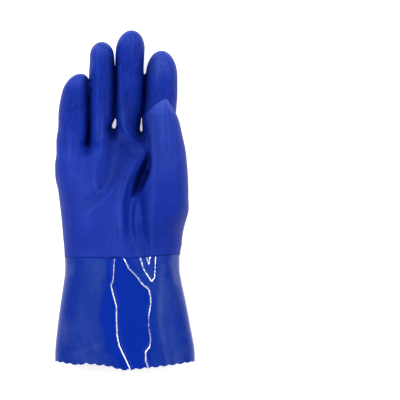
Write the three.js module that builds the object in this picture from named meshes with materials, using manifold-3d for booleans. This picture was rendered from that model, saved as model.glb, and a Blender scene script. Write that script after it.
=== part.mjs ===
// A PVC-coated work glove for the right hand, lying on its back with the palm up.
// Millimetres, +Z up. +Y runs from the cuff's hem to the fingertips and +X to the thumb's side.
// The glove is a knitted glove dipped once all over, which shows as the smooth gauntlet cuff, and dipped
// again over the hand. The second coat ends in a thin lip that laps over the cuff's upper end.

import * as THREE from 'three';
import { mergeVertices } from 'three/addons/utils/BufferGeometryUtils.js';
import Module from 'manifold-3d';

const wasm = await Module();
wasm.setup();

// Lengths along Y. The edge of the hand's second coat lies at y = 0 while the glove is being built.
const cuffLength = 88.6;
const palmLength = 101;
const hemRise = 6.3; // how much higher the hem sits at the cuff's two sides than at its middle
const thumbStart = 12; // where the thumb's root lies in the wrist

// Widths and depths of the sleeve that the cuff and the palm share
const hemWidth = 111.8;
const hemDepth = 40;
const wristWidth = 90.2;
const wristDepth = 43;
const palmWidth = 97;
const palmDepth = 42;
const knuckleDepth = 29;
const waistShare = 0.47; // where the sleeve is widest, as a share of its depth
const flatShare = 0.94; // the sleeve's underside is pressed flat over the last few per cent of its depth

// Walls
const coatWall = 0.7; // the second coat, which is all there is in the lip
const baseWall = 1.2; // the knitted glove with its first coat
const coatStep = 0.4; // how far the second coat stands proud of the cuff
const lapLength = 14;
const seatGap = 0.3;
const straightLength = 20; // the palm's rows stay level up to here and follow the web line after it

// Pinked hem
const scallopPitch = 7;
const scallopDepth = 1.3;
const pointsPerScallop = 4;

// Fineness of the facets
const cuffSides = 60;
const cuffRows = 11;
const outerFacets = { sleeve: 64, finger: 16, rows: 13, dome: 4 };
const innerFacets = { sleeve: 40, finger: 10, rows: 11, dome: 3 };
const smallestEdge = 0.06; // anything finer that the joins leave is cleaned away

// Roundness of the sections: 2 is an ellipse, and more is squarer
const sleeveRoundness = 2.25;
const fingerRoundness = 2.15;

// Each finger's length runs from the web line to its tip, and its curl is how far the tip rises.
// Its root sits at a share of the palm's width from the palm's middle.
const fingers = {
  little: { length: 58.5, width: 22.7, depth: 20, dome: 14, curl: 19, root: -0.375, tipDrift: 0.37 },
  ring: { length: 74.5, width: 19.6, depth: 19.5, dome: 11, curl: 22, root: -0.13, tipDrift: 0.06 },
  middle: { length: 79, width: 22.6, depth: 21, dome: 15, curl: 21, root: 0.08, tipDrift: 0.19 },
  index: { length: 67, width: 25.6, depth: 22.5, dome: 20, curl: 17, root: 0.354, tipDrift: 0.05 },
};
const fingerHeight = 15; // the middle of a finger's root over the ground
const thumb = { length: 114.8, width: 28, depth: 24, dome: 14, curl: 30, tipDrift: 0.28 };
const thumbRoot = 0.3; // share of the palm's width from the palm's middle
const thumbHeight = 21;
const coatColor = 0x2340ab;
const cuffColor = 0x0f2fa8;

// Cuff sections, from the coat's edge (down 0) to the hem (down 1). flare goes from the wrist's width
// to the hem's, and drift is the section's shift in X as a share of the wrist's width.
const cuffSections = [
  { down: 0, flare: 0, drift: -0.022 },
  { down: 0.13, flare: 0, drift: -0.022 },
  { down: 0.24, flare: 0.13, drift: -0.02 },
  { down: 0.45, flare: 0.44, drift: -0.014 },
  { down: 0.66, flare: 0.71, drift: -0.009 },
  { down: 0.87, flare: 0.96, drift: -0.002 },
  { down: 1, flare: 1, drift: 0 },
];

// Palm sections, from the coat's edge (up 0) to the web line (up 1). swell goes from the wrist's width to
// the palm's, thick from the wrist's depth to the palm's, thin from there to the knuckles' depth, and drift
// is a share of the palm's width.
const palmSections = [
  { up: 0, swell: 0, thick: 0, thin: 0, drift: -0.02 },
  { up: 0.15, swell: 0.14, thick: 0.4, thin: 0, drift: -0.022 },
  { up: 0.35, swell: 0.38, thick: 1, thin: 0, drift: -0.038 },
  { up: 0.55, swell: 0.74, thick: 1, thin: 0.12, drift: -0.052 },
  { up: 0.75, swell: 1, thick: 1, thin: 0.5, drift: -0.069 },
  { up: 0.9, swell: 0.98, thick: 1, thin: 0.88, drift: -0.068 },
  { up: 1, swell: 0.94, thick: 1, thin: 1, drift: -0.066 },
];

// The web line over the palm, from the little finger's side (-1) to the index finger's (1):
// how far it drops below the web between ring and middle finger, as a share of the palm's length.
const webLine = [
  { across: -1, drop: 0.17 },
  { across: -0.72, drop: 0.135 },
  { across: -0.48, drop: 0.105 },
  { across: -0.05, drop: 0 },
  { across: 0.4, drop: 0.02 },
  { across: 1, drop: 0.07 },
];

// The web's rounded edge: how much of the palm's depth is left over the last stretch below the web line
const webStretch = 0.12;
const webTaper = 0.3;

// Finger sections: along is a share of the length, side a shift in X as a share of the width,
// rise a share of the curl, wide and deep are shares of the width and the depth.
const fingerSections = {
  little: [
    { along: -0.4, side: 0, rise: 0, wide: 1, deep: 0.98 },
    { along: 0.1, side: -0.03, rise: 0.01, wide: 1.01, deep: 1.1 },
    { along: 0.28, side: 0.03, rise: 0.1, wide: 0.99, deep: 1.03 },
    { along: 0.5, side: 0.1, rise: 0.3, wide: 1, deep: 1 },
    { along: 0.69, side: 0.16, rise: 0.57, wide: 0.92, deep: 0.96 },
  ],
  ring: [
    { along: -0.35, side: 0.03, rise: 0, wide: 0.95, deep: 0.95 },
    { along: 0.1, side: -0.01, rise: 0.01, wide: 0.86, deep: 1.1 },
    { along: 0.24, side: 0.02, rise: 0.07, wide: 0.94, deep: 1.05 },
    { along: 0.37, side: 0.02, rise: 0.17, wide: 0.98, deep: 1 },
    { along: 0.6, side: 0.04, rise: 0.43, wide: 1, deep: 1 },
    { along: 0.8, side: 0.05, rise: 0.73, wide: 0.95, deep: 0.96 },
  ],
  middle: [
    { along: -0.35, side: 0, rise: 0, wide: 0.85, deep: 0.95 },
    { along: 0.08, side: 0.04, rise: 0.01, wide: 0.76, deep: 1.08 },
    { along: 0.2, side: 0.07, rise: 0.05, wide: 0.84, deep: 1.03 },
    { along: 0.32, side: 0.1, rise: 0.13, wide: 0.9, deep: 1 },
    { along: 0.51, side: 0.12, rise: 0.32, wide: 0.98, deep: 1 },
    { along: 0.69, side: 0.14, rise: 0.57, wide: 1, deep: 1 },
  ],
  index: [
    { along: -0.35, side: 0, rise: 0, wide: 0.9, deep: 1 },
    { along: 0.15, side: -0.01, rise: 0.03, wide: 0.98, deep: 1.06 },
    { along: 0.3, side: -0.01, rise: 0.12, wide: 0.99, deep: 1 },
    { along: 0.44, side: 0.02, rise: 0.26, wide: 1.01, deep: 1 },
    { along: 0.58, side: 0.04, rise: 0.42, wide: 0.99, deep: 1 },
  ],
};
const thumbSections = [
  { along: 0, side: 0, rise: 0, wide: 1.34, deep: 1.2 },
  { along: 0.084, side: 0.09, rise: 0.08, wide: 1.39, deep: 1.32 },
  { along: 0.21, side: 0.25, rise: 0.26, wide: 1.43, deep: 1.4 },
  { along: 0.314, side: 0.285, rise: 0.42, wide: 1.34, deep: 1.32 },
  { along: 0.417, side: 0.35, rise: 0.55, wide: 1.24, deep: 1.22 },
  { along: 0.535, side: 0.405, rise: 0.68, wide: 1.07, deep: 1.09 },
  { along: 0.64, side: 0.395, rise: 0.78, wide: 1, deep: 1.03 },
  { along: 0.743, side: 0.33, rise: 0.87, wide: 0.95, deep: 0.98 },
  { along: 0.847, side: 0.255, rise: 0.95, wide: 0.86, deep: 0.9 },
];

// Long soft dents in the sleeve's front and back, with swellings where the depth is below zero. from and
// to are [share of half the palm's width, share of the palm's length above the coat's edge or of the
// cuff's length below it]. radius is a share of the palm's width and depth of the palm's depth.
const dents = [
  { name: 'cuff fold', face: 'front', from: [0.5, -0.04], to: [0.56, -0.24], radius: 0.113, depth: 0.043 },
  { name: 'palm hollow', face: 'front', from: [-0.15, 0.45], to: [0.05, 0.76], radius: 0.268, depth: 0.083 },
  { name: 'thumb valley', face: 'front', from: [0.18, 0.62], to: [0, 0.2], radius: 0.175, depth: 0.107 },
  { name: 'thumb mound', face: 'front', from: [0.5, 0.26], to: [0.56, 0.42], radius: 0.247, depth: -0.119 },
  { name: 'little web', face: 'both', from: [-0.62, 0.92], to: [-0.64, 0.6], radius: 0.093, depth: 0.057 },
  { name: 'ring web', face: 'both', from: [-0.2, 1.02], to: [-0.28, 0.74], radius: 0.093, depth: 0.057 },
  { name: 'middle web', face: 'both', from: [0.25, 1], to: [0.2, 0.76], radius: 0.093, depth: 0.057 },
];

// The cuff's front is dished between two sharp crests. left and right are the crests' places as shares of
// half the wrist's width, at a share of the way down the cuff.
const panelSections = [
  { down: 0, left: -0.17, right: -0.01 },
  { down: 0.1, left: -0.18, right: 0.07 },
  { down: 0.2, left: -0.2, right: 0.26 },
  { down: 0.3, left: -0.21, right: 0.41 },
  { down: 0.45, left: -0.14, right: 0.45 },
  { down: 0.62, left: -0.13, right: 0.42 },
  { down: 0.8, left: -0.08, right: 0.44 },
  { down: 1, left: 0.08, right: 0.43 },
];
const panelDepth = 3.2;
const fullPanelSpan = 10; // where half the panel is narrower than this, it is dished less

const mix = THREE.MathUtils.lerp;
const clamp = THREE.MathUtils.clamp;

// All the columns of a table at one value of its key column, on a smooth curve through the rows
function rowAt(rows, key, value) {
  const last = rows.length - 2;
  let i = rows.findIndex((row, n) => n > last || value <= rows[n + 1][key]);
  i = clamp(i, 0, last);
  const [a, b] = [rows[i], rows[i + 1]];
  const before = rows[i - 1] ?? a;
  const after = rows[i + 2] ?? b;
  const span = b[key] - a[key];
  const t = (value - a[key]) / span;
  const out = {};
  for (const column of Object.keys(a)) {
    const slopeA = (b[column] - before[column]) / (b[key] - before[key]);
    const slopeB = (after[column] - a[column]) / (after[key] - a[key]);
    const t2 = t * t;
    const t3 = t2 * t;
    out[column] = (2 * t3 - 3 * t2 + 1) * a[column] + (t3 - 2 * t2 + t) * span * slopeA
      + (3 * t2 - 2 * t3) * b[column] + (t3 - t2) * span * slopeB;
  }
  return out;
}

// The sleeve's section at a height y: its middle in X, half width, and depth over the ground
function sleeveAt(y) {
  if (y < 0) {
    const row = rowAt(cuffSections, 'down', -y / cuffLength);
    return {
      middle: row.drift * wristWidth,
      half: mix(wristWidth, hemWidth, row.flare) / 2,
      depth: mix(wristDepth, hemDepth, row.flare),
    };
  }
  const row = rowAt(palmSections, 'up', y / palmLength);
  const thick = mix(wristDepth, palmDepth, row.thick);
  const wristMiddle = cuffSections[0].drift * wristWidth;
  const settled = clamp(y / palmLength / palmSections[1].up, 0, 1);
  return {
    middle: mix(wristMiddle, row.drift * palmWidth, settled),
    half: mix(wristWidth, palmWidth, row.swell) / 2,
    depth: mix(thick, knuckleDepth, row.thin),
  };
}

function roundedPower(value, roundness) {
  return Math.sign(value) * Math.abs(value) ** (2 / roundness);
}

// Points at equal steps along a closed outline given as a function of the angle, starting at angle pi
function evenRing(count, pointAt) {
  const fine = [];
  const fineCount = 240;
  for (let i = 0; i <= fineCount; i++) {
    fine.push(pointAt(Math.PI - (i / fineCount) * 2 * Math.PI));
  }
  const path = new THREE.CurvePath();
  for (let i = 0; i < fineCount; i++) {
    path.add(new THREE.LineCurve3(fine[i], fine[i + 1]));
  }
  return path.getSpacedPoints(count).slice(0, count);
}

// How deep the dents press into the front or the back at a point
function dentAt(x, y, face) {
  const scaleX = palmWidth / 2;
  const scaleY = (up) => up * (up < 0 ? cuffLength : palmLength);
  const place = ([across, up]) => new THREE.Vector3(across * scaleX, scaleY(up), 0);
  let total = 0;
  for (const dent of dents) {
    if (dent.face !== 'both' && dent.face !== face) {
      continue;
    }
    const line = new THREE.Line3(place(dent.from), place(dent.to));
    const point = new THREE.Vector3(x, y, 0);
    const near = line.closestPointToPoint(point, true, new THREE.Vector3());
    const share = clamp(near.distanceTo(point) / (dent.radius * palmWidth), 0, 1);
    total += dent.depth * palmDepth * 0.5 * (1 + Math.cos(Math.PI * share));
  }
  if (y < 0 && face === 'front') {
    const { left, right } = rowAt(panelSections, 'down', clamp(-y / cuffLength, 0, 1));
    const span = 0.25 * wristWidth * (right - left);
    const share = (x - 0.25 * wristWidth * (left + right)) / span;
    total += panelDepth * Math.min(1, span / fullPanelSpan) * Math.max(0, 1 - share ** 2);
  }
  return total;
}

// One ring of the sleeve at height y, pressed in by inset. The web line and the hem bend it along Y,
// and squeeze shrinks its depth about the middle.
function sleeveRing(y, inset, { count = cuffSides, squeeze = 1 } = {}) {
  const { middle, half, depth } = sleeveAt(y);
  const waist = waistShare * depth;
  const centre = mix(0.5 * knuckleDepth, waist, squeeze);
  const up = (depth - waist) * squeeze;
  const down = (waist / flatShare) * squeeze;
  const ring = evenRing(count, (angle) => {
    const across = roundedPower(Math.cos(angle), sleeveRoundness);
    const rise = roundedPower(Math.sin(angle), sleeveRoundness);
    const x = middle + across * (half - inset);
    const z = centre + (rise > 0 ? rise * (up - inset) : rise * (down - inset));
    return new THREE.Vector3(x, y, Math.max(z, inset));
  });
  for (const point of ring) {
    const across = (point.x - middle) / half;
    if (y > 0) {
      const drop = rowAt(webLine, 'across', clamp(across, -1, 1)).drop * palmLength;
      const bent = clamp((y - straightLength) / (palmLength - straightLength), 0, 1);
      point.y -= drop * bent ** 1.5;
    } else {
      point.y += hemRise * Math.abs(across) ** 1.25 * (-y / cuffLength);
    }
    const front = clamp((point.z - centre) / up, 0, 1);
    const back = clamp((centre - point.z) / (centre || 1), 0, 1);
    point.z -= dentAt(point.x, point.y, 'front') * front * squeeze;
    point.z += dentAt(point.x, point.y, 'back') * back * squeeze * (y > 0 ? 1 : 0);
  }
  return ring;
}

// Triangles between two closed rings whose points may differ in number
function stitch(triangles, startA, countA, startB, countB) {
  let i = 0;
  let j = 0;
  while (i < countA || j < countB) {
    const a = startA + (i % countA);
    const b = startB + (j % countB);
    if (j >= countB || (i < countA && (i + 1) / countA <= (j + 1) / countB)) {
      triangles.push(a, startA + ((i + 1) % countA), b);
      i++;
    } else {
      triangles.push(a, startB + ((j + 1) % countB), b);
      j++;
    }
  }
}

// A flat ribbon of triangles that closes a ring, from its one side to the other
function closeRing(triangles, start, count, flip) {
  const add = (a, b, c) => (flip ? triangles.push(a, c, b) : triangles.push(a, b, c));
  for (let i = 1; i < count / 2; i++) {
    const [p, q] = [start + i, start + count - i];
    const [before, beforeQ] = [start + i - 1, start + ((count - i + 1) % count)];
    if (i > 1) {
      add(before, p, beforeQ);
    }
    add(p, q, beforeQ);
  }
  const half = Math.floor(count / 2);
  if (count % 2 === 0) {
    add(start + half - 1, start + half, start + half + 1);
  }
}

function makeGeometry(rings, triangles) {
  const geometry = new THREE.BufferGeometry();
  const numbers = rings.flat().flatMap((p) => [p.x, p.y, p.z]);
  geometry.setAttribute('position', new THREE.Float32BufferAttribute(numbers, 3));
  geometry.setIndex(triangles);
  return geometry;
}

// A closed solid through rings of equal count, with flat ends
function loft(rings) {
  const count = rings[0].length;
  const triangles = [];
  for (let i = 0; i + 1 < rings.length; i++) {
    stitch(triangles, i * count, count, (i + 1) * count, count);
  }
  closeRing(triangles, 0, count, true);
  closeRing(triangles, (rings.length - 1) * count, count, false);
  return makeGeometry(rings, triangles);
}

// A tube wall through rings that run down its outside and come back up its inside
function loopLoft(rings) {
  const starts = [];
  let total = 0;
  for (const ring of rings) {
    starts.push(total);
    total += ring.length;
  }
  const triangles = [];
  rings.forEach((ring, i) => {
    const next = (i + 1) % rings.length;
    stitch(triangles, starts[i], ring.length, starts[next], rings[next].length);
  });
  return makeGeometry(rings, triangles);
}

function toSolid(geometry) {
  const merged = mergeVertices(geometry);
  const mesh = new wasm.Mesh({
    numProp: 3,
    vertProperties: new Float32Array(merged.attributes.position.array),
    triVerts: new Uint32Array(merged.index.array),
  });
  return new wasm.Manifold(mesh);
}

function toGeometry(solid) {
  const mesh = solid.getMesh();
  const geometry = new THREE.BufferGeometry();
  geometry.setAttribute('position', new THREE.BufferAttribute(mesh.vertProperties, 3));
  geometry.setIndex(new THREE.BufferAttribute(mesh.triVerts, 1));
  return geometry;
}

// The palm as a closed form, pressed in by inset, from startY to the web line with its rounded edge
function palmForm(inset, startY, facets) {
  const rings = [];
  const count = facets.sleeve;
  if (startY < 0) {
    rings.push(sleeveRing(0, inset, { count }).map((p) => p.setY(startY)));
  }
  const webStart = 1 - webStretch;
  const end = 1 - inset / palmLength;
  for (let i = 0; i <= facets.rows; i++) {
    rings.push(sleeveRing((i / facets.rows) * webStart * palmLength, inset, { count }));
  }
  for (const step of [0.5, 0.8, 1]) {
    const squeeze = mix(webTaper, 1, Math.sqrt(1 - step ** 2));
    rings.push(sleeveRing(mix(webStart, end, step) * palmLength, inset, { count, squeeze }));
  }
  return loft(rings);
}

// A finger or the thumb as a closed form, pressed in by inset. root is the foot of its middle line.
function fingerForm(size, sections, root, inset, facets) {
  const { length, width, depth, dome, curl, tipDrift } = size;
  const domeShare = 1 - dome / length;
  const tip = { along: 1, side: tipDrift, rise: 1, wide: sections.at(-1).wide, deep: sections.at(-1).deep };
  const table = [...sections, tip];
  const centreAt = (along) => {
    const row = rowAt(table, 'along', along);
    return new THREE.Vector3(root.x + row.side * width, root.y + along * length, root.z + row.rise * curl);
  };
  const ringAt = (along, scale) => {
    const row = rowAt(table, 'along', along);
    const centre = centreAt(along);
    const step = 0.01;
    const ahead = centreAt(along + step).sub(centreAt(along - step)).normalize();
    const side = new THREE.Vector3(1, 0, 0).addScaledVector(ahead, -ahead.x).normalize();
    const up = new THREE.Vector3().crossVectors(side, ahead);
    const halfWidth = Math.max(row.wide * width * 0.5 - inset, 0) * scale;
    const halfDepth = Math.max(row.deep * depth * 0.5 - inset, 0) * scale;
    return evenRing(facets.finger, (angle) => centre.clone()
      .addScaledVector(side, roundedPower(Math.cos(angle), fingerRoundness) * halfWidth)
      .addScaledVector(up, roundedPower(Math.sin(angle), fingerRoundness) * halfDepth));
  };
  const rings = [];
  const rows = sections.length + 3;
  for (let i = 0; i <= rows; i++) {
    rings.push(ringAt(mix(sections[0].along, domeShare, i / rows), 1));
  }
  const domeEnd = 1 - inset / length;
  for (let i = 1; i <= facets.dome; i++) {
    const turn = (i / (facets.dome + 0.3)) * 0.5 * Math.PI;
    rings.push(ringAt(mix(domeShare, domeEnd, Math.sin(turn)), Math.cos(turn)));
  }
  return loft(rings);
}

// The hand's whole form without its wall: palm, four fingers and thumb in one solid
function handForm(inset, startY, facets) {
  let solid = toSolid(palmForm(inset, startY, facets));
  const palmMiddle = palmSections.at(-1).drift * palmWidth;
  for (const [name, size] of Object.entries(fingers)) {
    const across = size.root * 2;
    const drop = rowAt(webLine, 'across', across).drop * palmLength;
    const x = palmMiddle + size.root * palmWidth;
    const root = new THREE.Vector3(x, palmLength - drop, fingerHeight);
    solid = solid.add(toSolid(fingerForm(size, fingerSections[name], root, inset, facets)));
  }
  const thumbX = palmMiddle + thumbRoot * palmWidth;
  const root = new THREE.Vector3(thumbX, thumbStart, thumbHeight);
  return solid.add(toSolid(fingerForm(thumb, thumbSections, root, inset, facets)));
}

function handShell() {
  const outside = handForm(0, 0, outerFacets);
  const inside = handForm(coatWall + baseWall, -lapLength, innerFacets);
  const lapRings = [-lapLength, 0, lapLength + seatGap].map((y) => (
    sleeveRing(Math.max(y, 0), coatWall).map((p) => (y < 0 ? p.setY(y) : p))
  ));
  const lap = toSolid(loft(lapRings));
  return toGeometry(outside.subtract(inside).subtract(lap).simplify(smallestEdge));
}

// The hem: a finer ring with a scallop at every pitch
function hemRing(inset) {
  const around = new THREE.CatmullRomCurve3(sleeveRing(-cuffLength, inset), true).getLength();
  const scallops = Math.round(around / scallopPitch);
  const count = scallops * pointsPerScallop;
  return sleeveRing(-cuffLength, inset, { count }).map((point, i) => {
    const wave = Math.cos(((i % pointsPerScallop) / pointsPerScallop) * 2 * Math.PI);
    return new THREE.Vector3(point.x, point.y + 0.5 * scallopDepth * (1 + wave), point.z);
  });
}

function gauntletCuff() {
  const tongue = coatWall + seatGap;
  const inner = coatStep + baseWall;
  const shoulder = 0.1 * cuffLength;
  const lastRow = 0.965;
  const outside = [sleeveRing(lapLength, tongue), sleeveRing(0, tongue)];
  outside.push(sleeveRing(0, tongue).map((p) => p.setY(-seatGap)));
  outside.push(sleeveRing(0, coatStep).map((p) => p.setY(-seatGap)));
  const inside = [];
  for (let i = 1; i <= cuffRows; i++) {
    const y = -(i / cuffRows) * lastRow * cuffLength;
    outside.push(sleeveRing(y, coatStep));
    const settle = clamp(-y / shoulder, 0, 1);
    inside.unshift(sleeveRing(y, mix(tongue + baseWall, inner, settle)));
  }
  inside.push(sleeveRing(0, tongue + baseWall), sleeveRing(lapLength, tongue + baseWall));
  return loopLoft([...outside, hemRing(coatStep), hemRing(inner), ...inside].reverse());
}

function glovePiece(name, geometry, color, roughness) {
  const material = new THREE.MeshStandardMaterial({ color, roughness, metalness: 0 });
  const mesh = new THREE.Mesh(geometry, material);
  mesh.name = name;
  return mesh;
}

const glove = new THREE.Group();
glove.add(glovePiece('hand_shell', handShell(), coatColor, 0.62));
glove.add(glovePiece('gauntlet_cuff', gauntletCuff(), cuffColor, 0.18));

// The origin goes to the middle of the glove's box, on the ground
const box = new THREE.Box3().setFromObject(glove);
const middle = box.getCenter(new THREE.Vector3());
glove.position.set(-middle.x, -middle.y, -box.min.z);
glove.updateMatrixWorld(true);

export default glove;
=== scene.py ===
import math

import bpy
import numpy as np
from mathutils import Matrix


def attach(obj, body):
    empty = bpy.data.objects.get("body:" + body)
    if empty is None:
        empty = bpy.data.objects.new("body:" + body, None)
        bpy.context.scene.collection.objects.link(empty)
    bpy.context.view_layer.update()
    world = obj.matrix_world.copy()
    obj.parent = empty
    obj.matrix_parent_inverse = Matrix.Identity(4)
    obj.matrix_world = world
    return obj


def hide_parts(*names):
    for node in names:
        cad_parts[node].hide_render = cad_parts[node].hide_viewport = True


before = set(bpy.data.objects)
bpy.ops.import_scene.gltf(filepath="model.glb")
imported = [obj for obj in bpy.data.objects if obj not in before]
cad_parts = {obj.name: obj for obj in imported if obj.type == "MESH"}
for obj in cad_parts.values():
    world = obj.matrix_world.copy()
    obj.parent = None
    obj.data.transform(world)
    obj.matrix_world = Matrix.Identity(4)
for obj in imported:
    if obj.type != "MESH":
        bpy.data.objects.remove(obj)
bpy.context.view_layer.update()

# The glove lies on its back: +Y to the fingertips, +X to the thumb's side, +Z out of the palm.
# Shapes are worked out in millimetres over the middle of the glove. The hand coat ends at coatEdge.
millimetre = 0.001
coatEdge = -45.9
cuffLength = 88.6
palmLength = 101.0
photoScale = dict(pixel=0.7965, middleColumn=125, middleRow=200.5)  # millimetres to a pixel


def mix(a, b, t):
    return a + (b - a) * t


def smoothStep(a, b, value):
    t = np.clip((value - a) / (b - a), 0, 1)
    return t * t * (3 - 2 * t)


def smoothMin(a, b, radius):
    # the lesser of two fields, with a rounded valley where they meet
    h = np.maximum(radius - np.abs(a - b), 0) / radius
    return np.minimum(a, b) - h * h * radius / 4


def table(columns, *rows):
    # named columns, one row for each section
    return {name: np.array([row[i] for row in rows], float) for i, name in enumerate(columns.split())}


def rowAt(rows, key, value):
    # every column at a value of the key column, on a smooth curve through the rows
    k = rows[key]
    value = np.clip(value, k[0], k[-1])
    i = np.clip(np.searchsorted(k, value, side="right") - 1, 0, len(k) - 2)
    before, after = np.maximum(i - 1, 0), np.minimum(i + 2, len(k) - 1)
    span = k[i + 1] - k[i]
    t = (value - k[i]) / span
    out = {}
    for name, c in rows.items():
        slopeA = (c[i + 1] - c[before]) / (k[i + 1] - k[before]) * span
        slopeB = (c[after] - c[i]) / (k[after] - k[i]) * span
        out[name] = ((2 * t**3 - 3 * t**2 + 1) * c[i] + (t**3 - 2 * t**2 + t) * slopeA
                     + (3 * t**2 - 2 * t**3) * c[i + 1] + (t**3 - t**2) * slopeB)
    return out


def valueAlong(along, values):
    # a value from a list that is spread evenly along a line
    return np.interp(along, np.linspace(0, 1, len(values)), values)


def lineDistance(x, y, points):
    # distance to a line, how far along it (0 to 1) that is, and whether it's on the left of its run
    points = np.array(points, float)
    lengths = np.linalg.norm(np.diff(points, axis=0), axis=1)
    starts = np.concatenate([[0], np.cumsum(lengths)])
    best = np.full(np.shape(x), 1e9)
    where = np.zeros(np.shape(x))
    left = np.zeros(np.shape(x), bool)
    for (ax, ay), (bx, by), start, length in zip(points[:-1], points[1:], starts, lengths):
        t = np.clip(((x - ax) * (bx - ax) + (y - ay) * (by - ay)) / length**2, 0, 1)
        d = np.hypot(x - mix(ax, bx, t), y - mix(ay, by, t))
        near = d < best
        best = np.where(near, d, best)
        where = np.where(near, (start + t * length) / starts[-1], where)
        left = np.where(near, (bx - ax) * (y - ay) - (by - ay) * (x - ax) > 0, left)
    return best, where, left


def pixels(*places):
    # places read off the photograph, in millimetres over the middle of the glove
    pixel, column, row = photoScale["pixel"], photoScale["middleColumn"], photoScale["middleRow"]
    return [((px - column) * pixel, (row - py) * pixel) for px, py in places]


def stroke(*places, **rest):
    # a line drawn on the photograph, with its reach in millimetres and what it does within that reach;
    # a pair of reaches is for its left and right, swell changes the reach along it, power sharpens its edge
    return dict(line=pixels(*places), **rest)


def strokeAt(x, y, drawn):
    # how near a point is to a stroke, 1 on its line, and how far along it
    d, along, left = lineDistance(x, y, drawn["line"])
    reachLeft, reachRight = np.broadcast_to(drawn["reach"], 2)
    reach = np.where(left, reachRight, reachLeft)  # going down a line, the picture's right is on its left
    reach = reach * valueAlong(along, drawn.get("swell", (1, 1)))
    return np.exp(-((d / reach) ** drawn.get("power", 2))), along


# One sleeve runs through cuff and palm, with nearly the sizes and sections of the CAD source.
# waist is the height of its widest place as a share of its depth.
sleeve = dict(hemWidth=111.8, hemDepth=40, wristWidth=91.6, wristDepth=43, palmWidth=97,
              palmDepth=42, knuckleDepth=29, flatShare=0.94, roundness=2.25, waist=0.47)
cuffSections = table(
    "down flare drift",
    (0, 0, -0.024), (0.13, 0, -0.023), (0.24, 0.13, -0.02), (0.45, 0.44, -0.014),
    (0.66, 0.71, -0.009), (0.87, 0.96, -0.002), (1, 1, 0))
palmSections = table(
    "up swell thick thin drift",
    (0, 0, 0, 0, -0.022), (0.15, 0.14, 0.4, 0, -0.03), (0.35, 0.38, 1, 0, -0.041),
    (0.55, 0.74, 1, 0.12, -0.052), (0.75, 1, 1, 0.5, -0.069), (0.9, 0.98, 1, 0.88, -0.068),
    (1, 0.94, 1, 1, -0.066))
# the palm ends lower at its two sides: how much, in palm lengths, from the little finger's side on
webLine = table(
    "across drop",
    (-1, 0.17), (-0.72, 0.135), (-0.48, 0.105), (-0.05, -0.012), (0.4, 0.013), (1, 0.07))
# the drop starts at dropStart, and the palm's end is rounded over roundedShare of its length
palmEnd = dict(dropStart=20, dropPower=1.5, rounds=8, roundedShare=0.12)


def sleeveAt(y):
    # middle, half width and depth of the sleeve at y over the coat's edge
    s = sleeve
    cuff = rowAt(cuffSections, "down", -y / cuffLength)
    palm = rowAt(palmSections, "up", y / palmLength)
    low = y < 0
    intoPalm = np.clip(y / palmLength / palmSections["up"][1], 0, 1)
    palmMiddle = mix(cuffSections["drift"][0] * s["wristWidth"], palm["drift"] * s["palmWidth"], intoPalm)
    middle = np.where(low, cuff["drift"] * s["wristWidth"], palmMiddle)
    half = np.where(low, mix(s["wristWidth"], s["hemWidth"], cuff["flare"]),
                    mix(s["wristWidth"], s["palmWidth"], palm["swell"])) / 2
    thick = mix(s["wristDepth"], s["palmDepth"], palm["thick"])
    depth = np.where(low, mix(s["wristDepth"], s["hemDepth"], cuff["flare"]),
                     mix(thick, s["knuckleDepth"], palm["thin"]))
    return middle, half, depth


def waistAt(depth):
    # height of the sleeve's widest place, and its depths above and below that
    waist = sleeve["waist"] * depth
    return waist, depth - waist, waist / sleeve["flatShare"]


# broad forms of the palm and the back, with a depth in millimetres; below 0 it is a swell
palmFolds = {
    "palm hollow": stroke((127, 198), (128, 156), reach=25, depth=6.5),
    "thumb valley": stroke((135, 190), (133, 215), (130, 245), reach=15, depth=3),
    "thumb mound": stroke((158, 218), (162, 190), reach=22, depth=-5),
    "heel of the hand": stroke((86, 225), (80, 190), reach=24, depth=-2),
}
backFolds = {
    "little knuckle gap": stroke((87, 148), (86, 180), reach=9, depth=1.6),
    "ring knuckle gap": stroke((113, 134), (109, 172), reach=9, depth=1.6),
    "middle knuckle gap": stroke((141, 136), (139, 172), reach=9, depth=1.6),
}

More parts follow.
